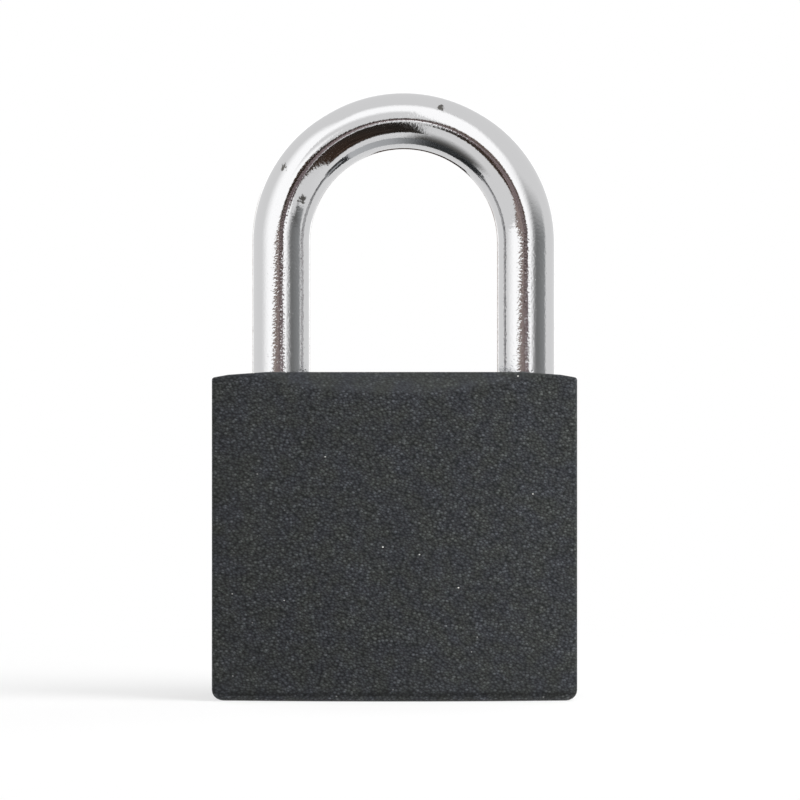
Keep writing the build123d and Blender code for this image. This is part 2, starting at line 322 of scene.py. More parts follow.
def bevel_share(tree, xyz, settings):
    """1 on the crescent bevels along the top edges and 0 elsewhere, with a soft change."""
    across = add_node(
        tree, "ShaderNodeMath", {0: xyz.outputs["X"], 1: 1 / settings.crescent_half_width},
        operation="MULTIPLY",
    )
    squared = add_node(tree, "ShaderNodeMath", {0: across, 1: 2.0}, operation="POWER")
    low_edge = add_node(
        tree, "ShaderNodeMath",
        {0: squared, 1: settings.crescent_height, 2: settings.height - settings.crescent_height},
        operation="MULTIPLY_ADD",
    )
    above = add_node(
        tree, "ShaderNodeMath", {0: xyz.outputs["Z"], 1: low_edge}, operation="SUBTRACT"
    )
    upper = add_node(
        tree, "ShaderNodeMapRange",
        {"Value": above, "From Min": -0.3 * MM, "From Max": 0.2 * MM},
        interpolation_type="SMOOTHSTEP",
    )
    barrel, tip = settings.barrel_radius, settings.crescent_half_width
    tip_depth = settings.thickness / 2 - barrel + math.sqrt(barrel**2 - tip**2)
    outward = add_node(tree, "ShaderNodeMath", {0: xyz.outputs["Y"]}, operation="ABSOLUTE")
    outer = add_node(
        tree, "ShaderNodeMapRange",
        {"Value": outward, "From Min": tip_depth - 0.35 * MM, "From Max": tip_depth - 0.1 * MM},
        interpolation_type="SMOOTHSTEP",
    )
    return add_node(tree, "ShaderNodeMath", {0: upper, 1: outer}, operation="MULTIPLY")


def base_shade_and_floor_light(tree, height):
    """1, but less where the base's rounding starts, as painted shade, and more below that, as painted
    light from the white floor."""
    shade_loss, floor_light_tone = 0.36, 1.38
    start = add_node(
        tree, "ShaderNodeMapRange",
        {"Value": height, "From Min": 0.95 * MM, "From Max": 0.62 * MM},
        interpolation_type="SMOOTHSTEP",
    )
    stop = add_node(
        tree, "ShaderNodeMapRange",
        {"Value": height, "From Min": 0.4 * MM, "From Max": 0.58 * MM},
        interpolation_type="SMOOTHSTEP",
    )
    shaded_band = add_node(tree, "ShaderNodeMath", {0: start, 1: stop}, operation="MULTIPLY")
    floor_lit_band = add_node(
        tree, "ShaderNodeMapRange",
        {
            "Value": height, "From Min": 0.52 * MM, "From Max": 0.32 * MM,
            "To Min": 1.0, "To Max": floor_light_tone,
        },
        interpolation_type="SMOOTHSTEP",
    )
    return add_node(
        tree, "ShaderNodeMath", {0: shaded_band, 1: -shade_loss, 2: floor_lit_band}, operation="MULTIPLY_ADD"
    )


def sand_coat(settings):
    """Sand-texture powder coat on cast iron: dull dark beads with painted shade between them and
    painted glints on a few.
    """
    clump_height = 0.6
    gap_shade, bead_tone, glint_tone, glint_power = 0.36, 0.85, 1.8, 5.0
    material, tree = new_material("sand_texture_powder_coat")
    place = add_node(tree, "ShaderNodeTexCoord").outputs["Object"]
    xyz = add_node(tree, "ShaderNodeSeparateXYZ", {"Vector": place})
    # The bevel along the top edge has a finer coat than the faces
    relief = add_node(
        tree, "ShaderNodeMapRange",
        {"Value": bevel_share(tree, xyz, settings), "To Min": 1.0, "To Max": 0.6},
    )
    # The beads run together sideways a little, so they look slightly wider than tall; the turn
    # keeps the flat faces from lying along the pattern's own layers
    wide = add_node(
        tree, "ShaderNodeMapping",
        {"Vector": place, "Scale": (0.85, 0.85, 1.15), "Rotation": (0.5, 0.35, 0.8)},
    )
    beads = add_node(tree, "ShaderNodeTexVoronoi", {"Vector": wide, "Scale": 1 / settings.grain})
    traits = add_node(tree, "ShaderNodeSeparateColor", {"Color": beads.outputs["Color"]})
    clumps = add_node(
        tree, "ShaderNodeTexNoise",
        {"Vector": wide, "Scale": 0.5 / settings.grain, "Detail": 3.0, "Roughness": 0.6},
    ).outputs["Fac"]
    dome = add_node(
        tree, "ShaderNodeMapRange",
        {
            "Value": beads.outputs["Distance"], "From Min": 0.05, "From Max": 0.85,
            "To Min": 1.0, "To Max": 0.0,
        },
    )
    size = add_node(
        tree, "ShaderNodeMapRange", {"Value": traits.outputs["Red"], "To Min": 0.4, "To Max": 1.0}
    )
    bead = add_node(tree, "ShaderNodeMath", {0: dome, 1: size}, operation="MULTIPLY")
    hill = add_node(
        tree, "ShaderNodeMath", {0: clumps, 1: clump_height, 2: bead}, operation="MULTIPLY_ADD"
    )
    bump = add_node(
        tree, "ShaderNodeBump", {"Strength": relief, "Distance": 0.06 * MM, "Height": hill}
    )
    # Painted shade darkens the gaps between the beads, and painted glints make a few beads much paler
    # than the rest
    glint_chance = add_node(
        tree, "ShaderNodeMath", {0: traits.outputs["Green"], 1: glint_power}, operation="POWER"
    )
    bead_glint = add_node(
        tree, "ShaderNodeMath", {0: glint_chance, 1: glint_tone, 2: bead_tone}, operation="MULTIPLY_ADD"
    )
    painted_shade_and_glints = add_node(
        tree, "ShaderNodeMath", {0: dome, 1: bead_glint, 2: gap_shade}, operation="MULTIPLY_ADD"
    )
    # Painted shade where the base's rounding starts, and painted light from the white floor below it
    base_light = base_shade_and_floor_light(tree, xyz.outputs["Z"])
    painted_shade_and_glints = add_node(tree, "ShaderNodeMath", {0: painted_shade_and_glints, 1: base_light}, operation="MULTIPLY")
    lean = add_node(
        tree, "ShaderNodeTexNoise", {"Vector": place, "Scale": 1 / (1.6 * MM), "Detail": 1.0}
    )
    warmth = add_node(
        tree, "ShaderNodeMapRange",
        {"Value": lean.outputs["Fac"], "From Min": 0.35, "From Max": 0.65},
    )
    coat = add_node(
        tree, "ShaderNodeMix",
        {0: warmth, 6: opaque(settings.coat), 7: opaque(settings.warm_coat)}, data_type="RGBA",
    )
    shaded = add_node(
        tree, "ShaderNodeMix", {0: relief, 6: coat.outputs[2], 7: painted_shade_and_glints},
        data_type="RGBA", blend_type="MULTIPLY", clamp_result=False,
    )
    # A few beads in a thousand lie bare, and their sparkle is painted into the colour as a near-white
    # glint, each with its own brightness
    cells = add_node(tree, "ShaderNodeTexVoronoi", {"Vector": wide, "Scale": 0.8 / settings.grain})
    chance = add_node(tree, "ShaderNodeSeparateColor", {"Color": cells.outputs["Color"]})
    rare = add_node(
        tree, "ShaderNodeMapRange",
        {"Value": chance.outputs["Red"], "From Min": 0.995, "From Max": 0.9995},
    )
    near = add_node(
        tree, "ShaderNodeMapRange",
        {
            "Value": cells.outputs["Distance"], "From Min": 0.16, "From Max": 0.3,
            "To Min": 1.0, "To Max": 0.0,
        },
    )
    bare_glint = add_node(tree, "ShaderNodeMath", {0: rare, 1: near}, operation="MULTIPLY")
    with_glints = add_node(
        tree, "ShaderNodeMix",
        {0: bare_glint, 6: shaded.outputs[2], 7: opaque(settings.bare_grain_glint)}, data_type="RGBA",
    )
    gloss = add_node(
        tree, "ShaderNodeMapRange",
        {"Value": clumps, "From Min": 0.3, "From Max": 0.7, "To Min": 0.38, "To Max": 0.55},
    )
    paint = add_node(
        tree, "ShaderNodeBsdfPrincipled",
        {
            "Base Color": with_glints.outputs[2],
            "Roughness": gloss,
            "IOR": 1.5,
            "Specular IOR Level": 0.12,
            "Normal": bump,
        },
    )
    add_node(tree, "ShaderNodeOutputMaterial", {"Surface": paint})
    return material


def nick_share(tree, place):
    """1 in the nicks that knocks have left on the front of the bow, and 0 round them."""
    # Where they lie and their radius, in millimetres
    nicks = (((-9.2, -1.85, 44.0), 0.45), ((3.85, -2.0, 48.9), 0.48), ((-7.6, -2.1, 41.3), 0.5))
    # A noise pushes the place about, by half this on average, to make their outlines ragged
    push = 1.1
    shake = add_node(
        tree, "ShaderNodeTexNoise", {"Vector": place, "Scale": 1 / (0.3 * MM), "Detail": 3.0}
    )
    ragged = add_node(
        tree, "ShaderNodeVectorMath",
        {0: shake.outputs["Color"], 1: (push * MM, push * MM, push * MM), 2: place},
        operation="MULTIPLY_ADD",
    )
    share = 0.0
    for spot, radius in nicks:
        gap = add_node(
            tree, "ShaderNodeVectorMath",
            {0: ragged, 1: tuple((c + push / 2) * MM for c in spot)}, operation="DISTANCE",
        )
        inside = add_node(
            tree, "ShaderNodeMapRange",
            {
                "Value": gap.outputs["Value"],
                "From Min": 0.5 * radius * MM, "From Max": 0.8 * radius * MM,
                "To Min": 1.0, "To Max": 0.0,
            },
        )
        share = add_node(tree, "ShaderNodeMath", {0: share, 1: inside}, operation="MAXIMUM")
    return share


def chrome_plate(settings):
    """Bright chrome plate over drawn rod: a mirror whose images have ragged edges, from its peel
    and pits, with a few dull nicks."""
    pit_depth, nick_roughness = 0.8, 0.35
    material, tree = new_material("chrome_plate_on_drawn_rod")
    place = add_node(tree, "ShaderNodeTexCoord").outputs["Object"]
    peel = add_node(
        tree, "ShaderNodeTexNoise", {"Vector": place, "Scale": 1 / (0.2 * MM), "Detail": 1.0}
    ).outputs["Fac"]
    cells = add_node(tree, "ShaderNodeTexVoronoi", {"Vector": place, "Scale": 1 / (0.3 * MM)})
    dip = add_node(
        tree, "ShaderNodeMapRange",
        {
            "Value": cells.outputs["Distance"], "From Min": 0.0, "From Max": 0.34,
            "To Min": -1.0, "To Max": 0.0,
        },
        interpolation_type="SMOOTHSTEP",
    )
    chance = add_node(tree, "ShaderNodeSeparateColor", {"Color": cells.outputs["Color"]})
    depth = add_node(
        tree, "ShaderNodeMapRange",
        {"Value": chance.outputs["Red"], "From Min": 0.45, "From Max": 1.0},
    )
    pits = add_node(tree, "ShaderNodeMath", {0: dip, 1: depth}, operation="MULTIPLY")
    skin = add_node(
        tree, "ShaderNodeMath", {0: pits, 1: pit_depth, 2: peel}, operation="MULTIPLY_ADD"
    )
    # Bending and polishing smoothed the bow; the legs keep the grain of the drawn rod
    xyz = add_node(tree, "ShaderNodeSeparateXYZ", {"Vector": place})
    drawn = add_node(
        tree, "ShaderNodeMapRange",
        {
            "Value": xyz.outputs["Z"], "From Min": settings.bow_height - 1.5 * MM,
            "From Max": settings.bow_height + 3.5 * MM, "To Min": 1.0, "To Max": 0.3,
        },
        interpolation_type="SMOOTHSTEP",
    )
    bump = add_node(
        tree, "ShaderNodeBump", {"Strength": drawn, "Distance": 0.01 * MM, "Height": skin}
    )
    haze = add_node(
        tree, "ShaderNodeMapRange",
        {"Value": peel, "From Min": 0.3, "From Max": 0.7, "To Min": 0.04, "To Max": 0.1},
    )
    nick = nick_share(tree, place)
    dull = add_node(
        tree, "ShaderNodeMath", {0: nick, 1: nick_roughness, 2: haze}, operation="MULTIPLY_ADD"
    )
    tint = add_node(
        tree, "ShaderNodeMix",
        {0: nick, 6: opaque(settings.plate), 7: opaque(settings.nick)}, data_type="RGBA",
    )
    plate = add_node(
        tree, "ShaderNodeBsdfPrincipled",
        {"Base Color": tint.outputs[2], "Metallic": 1.0, "Roughness": dull, "Normal": bump},
    )
    add_node(tree, "ShaderNodeOutputMaterial", {"Surface": plate})
    return material


def turned_metal(name, rgb, roughness, pitch, depth):
    """Turned or drawn metal: satin, with fine tool rings round Z and a cloudy tarnish."""
    # How far apart the wave texture's rings lie at a scale of 1
    wave_pitch = 0.314
    material, tree = new_material(name)
    place = add_node(tree, "ShaderNodeTexCoord").outputs["Object"]
    rings = add_node(
        tree, "ShaderNodeTexWave",
        {
            "Vector": place, "Scale": wave_pitch / pitch, "Distortion": 1.5,
            "Detail": 2.0, "Detail Scale": 3.0,
        },
        wave_type="RINGS", rings_direction="Z",
    )
    cloud = add_node(
        tree, "ShaderNodeTexNoise",
        {"Vector": place, "Scale": 1 / (1.2 * MM), "Detail": 3.0, "Roughness": 0.6},
    ).outputs["Fac"]
    tarnish = add_node(
        tree, "ShaderNodeMapRange",
        {"Value": cloud, "From Min": 0.35, "From Max": 0.7, "To Min": 1.0, "To Max": 0.8},
    )
    tint = add_node(
        tree, "ShaderNodeMix",
        {0: 1.0, 6: opaque(rgb), 7: tarnish}, data_type="RGBA", blend_type="MULTIPLY",
    )
    satin = add_node(
        tree, "ShaderNodeMapRange",
        {
            "Value": cloud, "From Min": 0.3, "From Max": 0.7,
            "To Min": roughness * 0.85, "To Max": roughness * 1.2,
        },
    )
    bump = add_node(
        tree, "ShaderNodeBump",
        {"Strength": 1.0, "Distance": depth, "Height": rings.outputs["Fac"]},
    )
    metal = add_node(
        tree, "ShaderNodeBsdfPrincipled",
        {"Base Color": tint.outputs[2], "Metallic": 1.0, "Roughness": satin, "Normal": bump},
    )
    add_node(tree, "ShaderNodeOutputMaterial", {"Surface": metal})
    return material


def seen_directly(tree):
    """1 for the camera's rays and what mirrors and glass show, and 0 for the light that is cast."""
    rays = add_node(tree, "ShaderNodeLightPath")
    seen = rays.outputs["Is Camera Ray"]
    for kind in ("Is Glossy Ray", "Is Transmission Ray"):
        seen = add_node(
            tree, "ShaderNodeMath", {0: seen, 1: rays.outputs[kind]}, operation="MAXIMUM"
        )
    return seen


# Operators


class PADLOCK_OT_body(bpy.types.Operator):
    """Models the painted body: a barrelled block with a crescent bevel along each top edge"""

    bl_idname = "padlock.body"
    bl_label = "Body"

    def execute(self, context):
        settings = context.scene.padlock_body
        half_width = settings.width * TO_MM / 2
        half_depth = settings.thickness * TO_MM / 2
        height = settings.height * TO_MM
        barrel = settings.barrel_radius * TO_MM
        tip = settings.crescent_half_width * TO_MM
        drop = settings.crescent_height * TO_MM
        end_radius = settings.end_radius * TO_MM
        flat = settings.top_flat * TO_MM

        def depth_at(x):
            return math.sqrt(barrel**2 - x**2) - (barrel - half_depth)

        clear_selection()
        bpy.ops.mesh.primitive_cube_add(
            size=1.0, location=(0, 0, height / 2), scale=(2 * half_width, 2 * half_depth, height)
        )
        piece = begin_piece("painted_body")

        # Columns for the barrel and the falling ends; none lies near the tips of the crescents
        steps = 15
        outer = flat + 0.7 * (half_width - flat)
        columns = [-outer, *(flat * step / steps for step in range(-steps, steps + 1)), outer]
        for x in columns:
            bpy.ops.mesh.select_all(action="SELECT")
            bpy.ops.mesh.bisect(plane_co=(x, 0, 0), plane_no=(1, 0, 0), threshold=WELD)
        for x in (-half_width, *columns, half_width):
            pick("VERT", lambda v: abs(v.co.x - x) < NEAR)
            bpy.ops.transform.resize(
                value=(1, depth_at(x) / half_depth, 1), center_override=(0, 0, 0)
            )
            if abs(x) > flat:
                fall = end_radius - math.sqrt(end_radius**2 - (abs(x) - flat) ** 2)
                pick("VERT", lambda v: abs(v.co.x - x) < NEAR and v.co.z > height / 2)
                bpy.ops.transform.translate(value=(0, 0, -fall))

        # The crescents, where a slanted plane meets the barrel
        run = half_depth - depth_at(tip)
        for side in (-1, 1):
            bpy.ops.mesh.select_all(action="SELECT")
            bpy.ops.mesh.bisect(
                plane_co=(0, side * half_depth, height - drop),
                plane_no=Vector((0, side * drop, run)).normalized(),
                use_fill=True, clear_outer=True, threshold=WELD,
            )

        # Round the bottom edge, the upright edges, the crescents' lower edges and the top's edges
        corner_zone, top_zone, margin, steepest = 0.95, 1.6, 0.1, 0.6
        round_edges(
            lambda e: max(v.co.z for v in e.verts) < NEAR and turn_angle(e) > 60,
            settings.base_round * TO_MM, 5,
        )
        round_edges(
            lambda e: turn_angle(e) > 30
            and abs(middle(e).x) > half_width - corner_zone
            and abs(middle(e).y) > depth_at(half_width) - corner_zone
            and max(v.co.z for v in e.verts) > NEAR
            and min(v.co.z for v in e.verts) < height / 2,
            settings.corner_round * TO_MM, 3,
        )
        round_edges(
            lambda e: 15 < turn_angle(e) < 40
            and middle(e).z > height - 1.2 * drop
            and max(abs(v.co.x) for v in e.verts) < flat - margin,
            settings.crescent_soften * TO_MM, 4,
        )
        round_edges(
            lambda e: turn_angle(e) > 40
            and middle(e).z > height - top_zone
            and abs(e.verts[0].co.z - e.verts[1].co.z) < steepest * e.calc_length(),
            settings.edge_soften * TO_MM, 3,
        )

        # The level parts of the top and the base become one face each, for clean bores
        level = 0.99999
        for way, z in ((1, height), (-1, 0.0)):
            pick(
                "FACE",
                lambda f: way * f.normal.z > level and abs(f.calc_center_median().z - z) < WELD,
            )
            bpy.ops.mesh.dissolve_faces()

        # Start, direction, radius and depth of each hole
        up, down, right, forward = (0, 0, 1), (0, 0, -1), (1, 0, 0), (0, -1, 0)
        toe_x, heel_x, leg_hole = -9.45, 10.95, 2.52
        for start, way, radius, depth in (
            ((toe_x, 0, height), down, leg_hole, 11.1),  # toe leg
            ((heel_x, 0, height), down, leg_hole, 24.8),  # heel leg
            ((0, 0, 0), up, 4.03, 19.4),  # core
            ((0, 0, 0), up, 4.73, 1.43),  # the core's flange
            ((-half_width, 0, 20.0), right, 2.5, 21.9),  # latch
        ):
            bore(piece, start, way, radius, depth)
        for start, way, radius, depth in (
            *(((-half_width, 0, z), right, 1.15, 13.0) for z in (4.5, 7.5, 10.5, 13.5)),  # chambers
            ((3.95, half_depth, 15.25), forward, 0.6, half_depth + 2.8),  # the core's pin
            ((8.6, half_depth, 21.4), forward, 0.8, half_depth + 3.12),  # the heel's pin
        ):
            bore(piece, start, way, radius, depth, sides=32)

        def off_rim(point):
            return min(abs(math.hypot(point.x - x, point.y) - leg_hole) for x in (toe_x, heel_x))

        # The mouths of the legs' holes
        mouth_round = 0.12
        open_again(piece)
        round_edges(
            lambda e: turn_angle(e) > 60
            and min(v.co.z for v in e.verts) > height - 1
            and off_rim(middle(e)) < 2 * NEAR,
            mouth_round, 2,
        )
        finish_piece(piece, 35, sand_coat(settings))
        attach(piece, "case")
        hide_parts("body")
        return {"FINISHED"}


class PADLOCK_OT_shackle(bpy.types.Operator):
    """Bends the plated rod and cuts its notch, flat and groove"""

    bl_idname = "padlock.shackle"
    bl_label = "Shackle"

    def execute(self, context):
        settings = context.scene.padlock_shackle
        rod = settings.rod * TO_MM
        toe_x = shackle_low.x * TO_MM + rod / 2
        heel_x = shackle_high.x * TO_MM - rod / 2
        bow_height = settings.bow_height * TO_MM
        toe_tip = settings.toe_tip * TO_MM
        heel_tip = settings.heel_tip * TO_MM
        clear_selection()
        bpy.ops.mesh.primitive_circle_add(
            vertices=64, radius=rod / 2, fill_type="NOTHING", location=(toe_x, 0, toe_tip)
        )
        piece = begin_piece("chromed_shackle")
        bpy.ops.mesh.select_all(action="SELECT")
        bpy.ops.mesh.extrude_region_move(
            TRANSFORM_OT_translate={"value": (0, 0, bow_height - toe_tip)}
        )
        bpy.ops.mesh.spin(
            steps=72, angle=-math.pi, center=((toe_x + heel_x) / 2, 0, bow_height), axis=(0, 1, 0)
        )
        bpy.ops.mesh.extrude_region_move(
            TRANSFORM_OT_translate={"value": (0, 0, heel_tip - bow_height)}
        )
        bpy.ops.mesh.select_all(action="SELECT")
        bpy.ops.mesh.remove_doubles(threshold=WELD)
        bpy.ops.mesh.fill_holes(sides=0)
        bpy.ops.mesh.normals_make_consistent(inside=False)
        round_edges(lambda e: turn_angle(e) > 60, settings.end_round * TO_MM, 4)

        # The latch's notch in the toe, then the heel's flat, which runs down to its groove
        mill(
            piece,
            (toe_x + rod / 2 - settings.notch_depth * TO_MM, -rod, settings.notch_low * TO_MM),
            (toe_x + rod, rod, settings.notch_high * TO_MM),
        )
        groove_low = settings.groove_low * TO_MM
        groove_high = settings.groove_high * TO_MM
        groove_middle = (groove_low + groove_high) / 2
        mill(
            piece,
            (heel_x - rod, -rod, groove_middle),
            (heel_x - rod / 2 + settings.flat_depth * TO_MM, rod, settings.flat_top * TO_MM),
        )
        neck = rod / 2 - settings.flat_depth * TO_MM
        clear_selection()
        bpy.ops.mesh.primitive_cylinder_add(
            vertices=64, radius=rod * 0.75, depth=groove_high - groove_low,
            location=(heel_x, 0, groove_middle),
        )
        ring = bpy.context.active_object
        bore(ring, (heel_x, 0, groove_low - 1), (0, 0, 1), neck, groove_high - groove_low + 2)
        cut(piece, ring)
        finish_piece(piece, 30, chrome_plate(settings))
        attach(piece, "shackle")
        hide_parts("shackle")
        return {"FINISHED"}


class PADLOCK_OT_springs(bpy.types.Operator):
    """Winds the coil springs"""

    bl_idname = "padlock.springs"
    bl_label = "Springs"

    wire_sides = 12
    steps_per_turn = 28

    def wind(self, node, moving_body, material, outer, wire, turns, fixed_low):
        """One coil in the box of its CAD node, along the node's longest side.

        The outer diameter and the wire's are in millimetres. The moving body and fixed_low are not
        used.
        """
        low, high = (Vector(corner) * TO_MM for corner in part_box(node))
        along = max(range(3), key=lambda i: high[i] - low[i])
        axis = Vector([1.0 if i == along else 0.0 for i in range(3)])
        start = (low + high) / 2
        start[along] = low[along]
        bead_glint = high[along] - low[along] - wire
        coil = (outer - wire) / 2
        clear_selection()
        bpy.ops.mesh.primitive_circle_add(
            vertices=self.wire_sides, radius=wire / 2, fill_type="NOTHING"
        )
        piece = begin_piece(node + "_coil")
        bpy.ops.mesh.select_all(action="SELECT")
        lean = math.pi / 2 - math.atan2(bead_glint / turns, 2 * math.pi * coil)
        bpy.ops.transform.rotate(value=lean, orient_axis="X", center_override=(0, 0, 0))
        bpy.ops.transform.translate(value=(coil, 0, 0))
        bpy.ops.object.mode_set(mode="OBJECT")
        bpy.ops.object.modifier_add(type="SCREW")
        screw = piece.modifiers[-1]
        screw.angle = 2 * math.pi * turns
        screw.screw_offset = bead_glint
        screw.steps = screw.render_steps = round(self.steps_per_turn * turns)
        bpy.ops.object.modifier_apply(modifier=screw.name)
        open_again(piece)
        bpy.ops.mesh.fill_holes(sides=0)
        bpy.ops.object.mode_set(mode="OBJECT")
        piece.rotation_euler = axis.to_track_quat("Z", "Y").to_euler()
        piece.location = start + axis * (wire / 2)
        bpy.ops.object.transform_apply()
        finish_piece(piece, 60, material)
        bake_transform(piece)
        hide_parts(node)

    def execute(self, context):
        metals = context.scene.padlock_lockwork
        # Drawn spring wire: darker than ground steel, with fine draw marks
        drawn = turned_metal(
            "drawn_spring_wire", metals.wire, roughness=0.32, pitch=0.05 * MM, depth=0.001 * MM
        )
        self.wind("shackle_spring", "shackle", drawn, outer=4.3, wire=0.5, turns=7, fixed_low=True)
        self.wind("latch_spring", "latch", drawn, outer=3.6, wire=0.4, turns=4.5, fixed_low=False)
        for number in (1, 2, 3, 4):
            self.wind(
                f"pin_spring_{number}", f"driver_{number}", drawn,
                outer=2.0, wire=0.28, turns=8, fixed_low=True,
            )
        return {"FINISHED"}


class PADLOCK_OT_lockwork(bpy.types.Operator):
    """Gives the core, the pins, the latch and the pressed pieces their metals"""

    bl_idname = "padlock.lockwork"
    bl_label = "Lock work"

    def execute(self, context):
        metals = context.scene.padlock_lockwork
        finishes = {
            # Free-cutting brass as turned: warm, satin, with tool rings on the face
            "brass": turned_metal(
                "turned_brass", metals.brass, roughness=0.27, pitch=0.12 * MM, depth=0.002 * MM
            ),
            # Ground steel: neutral grey, satin, with finer rings
            "steel": turned_metal(
                "ground_steel", metals.steel, roughness=0.3, pitch=0.08 * MM, depth=0.0015 * MM
            ),
        }
        for subpart in frame["record"]["subparts"]:
            finish = finishes.get(subpart["material_slot"])
            if finish is not None:
                node = frame["nodes"][subpart["node"]]
                node.material_slots[0].material = finish
        return {"FINISHED"}


class PADLOCK_OT_stage(bpy.types.Operator):
    """Sets up the pale floor, the soft boxes, the cards that the plate mirrors, and the camera"""

    bl_idname = "padlock.stage"
    bl_label = "Stage"

    # A point in the loop of the shackle, which the lamps and the cards face
    aim = Vector((0, 0, 36 * MM))
    lamp_distance = 0.5
    floor_radius = 2.0
    floor_level = -0.02 * MM

    def lay_floor(self, settings):
        """A sheet of paper a hair below the base, clear from below so that the base can be seen."""
        clear_selection()
        bpy.ops.mesh.primitive_circle_add(
            vertices=96, radius=self.floor_radius, fill_type="NGON",
            location=(0, 0, self.floor_level),
        )
        floor = bpy.context.active_object
        floor.name = "studio_floor"
        material, tree = new_material("matt_paper_floor")
        # White where it is looked at, but near the lock the paper's own shade shows, for the shadow
        place = add_node(tree, "ShaderNodeTexCoord").outputs["Object"]
        reach = add_node(tree, "ShaderNodeVectorMath", {0: place}, operation="LENGTH")
        far = add_node(
            tree, "ShaderNodeMapRange",
            {
                "Value": reach.outputs["Value"], "From Min": 0.02, "From Max": 0.1,
                "To Min": 0.7, "To Max": 1.0,
            },
            interpolation_type="SMOOTHSTEP",
        )
        share = add_node(
            tree, "ShaderNodeMath", {0: seen_directly(tree), 1: far}, operation="MULTIPLY"
        )
        paper = add_node(tree, "ShaderNodeBsdfDiffuse", {"Color": opaque(settings.floor)})
        white = add_node(tree, "ShaderNodeEmission", {"Strength": 1.0})
        above = add_node(tree, "ShaderNodeMixShader", {0: share, 1: paper, 2: white})
        side = add_node(tree, "ShaderNodeNewGeometry")
        clear = add_node(tree, "ShaderNodeBsdfTransparent")
        sheet = add_node(
            tree, "ShaderNodeMixShader", {0: side.outputs["Backfacing"], 1: above, 2: clear}
        )
        add_node(tree, "ShaderNodeOutputMaterial", {"Surface": sheet})
        floor.data.materials.append(material)

    def light_world(self, scene, settings):
        """White where it is looked at, with a little light from all round."""
        world = bpy.data.worlds.new("white_studio")
        scene.world = world
        world.use_nodes = True
        tree = world.node_tree
        tree.nodes.clear()
        level = add_node(
            tree, "ShaderNodeMapRange",
            {"Value": seen_directly(tree), "To Min": settings.fill, "To Max": 1.0},
        )
        sky = add_node(tree, "ShaderNodeBackground", {"Color": (1, 1, 1, 1), "Strength": level})
        add_node(tree, "ShaderNodeOutputWorld", {"Surface": sky})

    def softbox(self, name, azimuth, elevation, side, radiance):
        """A square soft box that faces the lock, its azimuth in degrees from straight ahead to the
        right. It lights the lock, while mirrors see the cards instead."""
        clear_selection()
        a, e = math.radians(azimuth), math.radians(elevation)
        way = Vector((math.sin(a) * math.cos(e), -math.cos(a) * math.cos(e), math.sin(e)))
        bpy.ops.object.light_add(
            type="AREA", location=self.aim + way * self.lamp_distance,
            rotation=way.to_track_quat("Z", "Y").to_euler(),
        )
        lamp = bpy.context.active_object
        lamp.name = name
        lamp.data.shape = "SQUARE"
        lamp.data.size = side
        lamp.data.energy = radiance * math.pi * side * side
        lamp.visible_glossy = False

    def card(self, name, corners, shades, fade, patch=None):
        """A card that only mirrors see, between four corners, with soft edges.

        Its light runs from the first shade to the second along its first side. The fades are the
        shares of the card, left, right, bottom and top, over which it dissolves. A card with
        patches of a given size is uneven, as dark cloth is.
        """
        clear_selection()
        bpy.ops.mesh.primitive_plane_add(size=1.0)
        piece = bpy.context.active_object
        piece.name = name
        for vertex, corner in zip((0, 1, 3, 2), corners):
            piece.data.vertices[vertex].co = corner
        material, tree = new_material(name)
        place = add_node(tree, "ShaderNodeTexCoord")
        across = add_node(tree, "ShaderNodeSeparateXYZ", {"Vector": place.outputs["UV"]})
        left, right, bottom, top = fade
        cover = 1.0
        for axis, edge, inward in (
            ("X", 0.0, left), ("X", 1.0, -right), ("Y", 0.0, bottom), ("Y", 1.0, -top),
        ):
            soft = add_node(
                tree, "ShaderNodeMapRange",
                {"Value": across.outputs[axis], "From Min": edge, "From Max": edge + inward},
                interpolation_type="SMOOTHSTEP",
            )
            cover = add_node(tree, "ShaderNodeMath", {0: cover, 1: soft}, operation="MULTIPLY")
        first, last = shades
        shade = add_node(
            tree, "ShaderNodeMix",
            {0: across.outputs["X"], 6: opaque(first), 7: opaque(last)}, data_type="RGBA",
        )
        level = 1.0
        if patch is not None:
            cloth = add_node(
                tree, "ShaderNodeTexNoise",
                {"Vector": place.outputs["Object"], "Scale": 1 / patch, "Detail": 2.0},
            )
            level = add_node(
                tree, "ShaderNodeMapRange",
                {
                    "Value": cloth.outputs["Fac"], "From Min": 0.35, "From Max": 0.65,
                    "To Min": 0.5, "To Max": 1.5,
                },
            )
        glow = add_node(tree, "ShaderNodeEmission", {"Color": shade.outputs[2], "Strength": level})
        clear = add_node(tree, "ShaderNodeBsdfTransparent")
        mix = add_node(tree, "ShaderNodeMixShader", {0: cover, 1: clear, 2: glow})
        add_node(tree, "ShaderNodeOutputMaterial", {"Surface": mix})
        piece.data.materials.append(material)
        piece.visible_camera = False
        piece.visible_diffuse = False
        piece.visible_transmission = False
        piece.visible_shadow = False

    def hung_card(self, name, distance, directions, shades, fade, patch=None):
        """A card whose corners are seen from the lock at the given azimuths and elevations."""
        corners = []
        for azimuth, elevation in directions:
            a, e = math.radians(azimuth), math.radians(elevation)
            corners.append(self.aim + distance * Vector((math.sin(a), -math.cos(a), math.tan(e))))
        self.card(name, corners, shades, fade, patch)

    def upright_card(self, name, distance, azimuths, elevations, shades, fade, patch=None):
        """A card that stands between two azimuths and two elevations, seen from the lock."""
        (left, right), (low, high) = azimuths, elevations
        directions = ((left, low), (right, low), (right, high), (left, high))
        self.hung_card(name, distance, directions, shades, fade, patch)

    def flat_card(self, name, level, spots, shades, fade, patch=None):
        """A card that lies level, between four spots seen from above."""
        self.card(name, [(x, y, level) for x, y in spots], shades, fade, patch)

